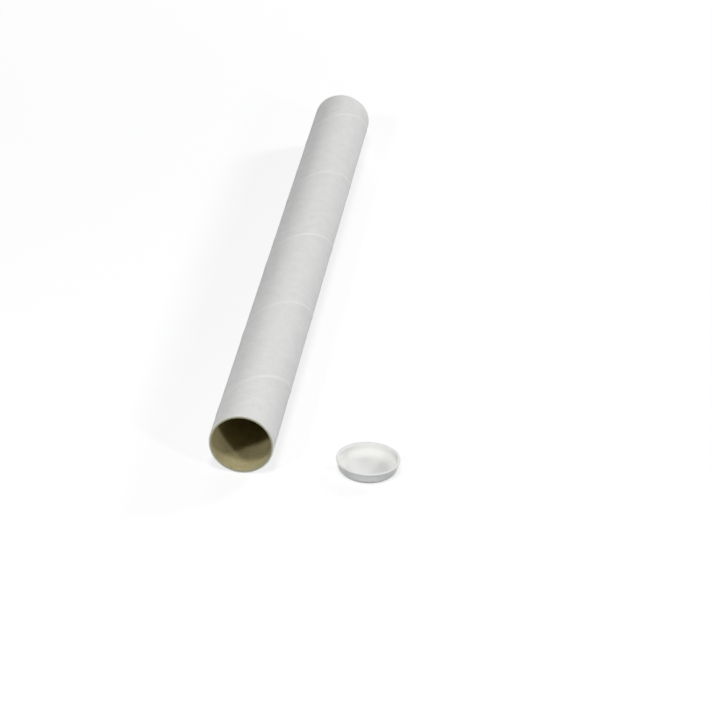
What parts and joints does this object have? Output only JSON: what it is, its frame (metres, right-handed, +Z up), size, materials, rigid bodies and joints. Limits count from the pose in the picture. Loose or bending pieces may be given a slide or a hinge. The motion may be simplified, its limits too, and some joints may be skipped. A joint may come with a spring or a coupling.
{
  "type": "cardboard mailing tube",
  "caption": "Spirally wound cardboard mailing tube, white outside and brown kraft inside, lying on its side, with a push-in plug seated in its far end and another lying beside the open mouth.",
  "frame": {"origin": "centre of the open mouth, on the bore's axis, in the plane of the cut end", "axes": "+Y along the tube from the open mouth to the plugged end, +Z up, +X to the side where the loose plug lies"},
  "size_m": [0.1578, 0.6542, 0.0549],
  "materials": {
    "kraft_board": "matte",
    "white_paper": "matte",
    "white_plastic": "satin"
  },
  "bodies": {
    "tube": {"kraft_core": "kraft_board", "white_outer_ply": "white_paper", "loose_plug": "white_plastic"},
    "far_plug": {"far_plug": "white_plastic"}
  },
  "joints": [
    {"name": "far_plug_pull", "type": "slide", "parent": "tube", "child": "far_plug", "axis": [0, 1, 0], "range_m": [0, 0.03]}
  ]
}
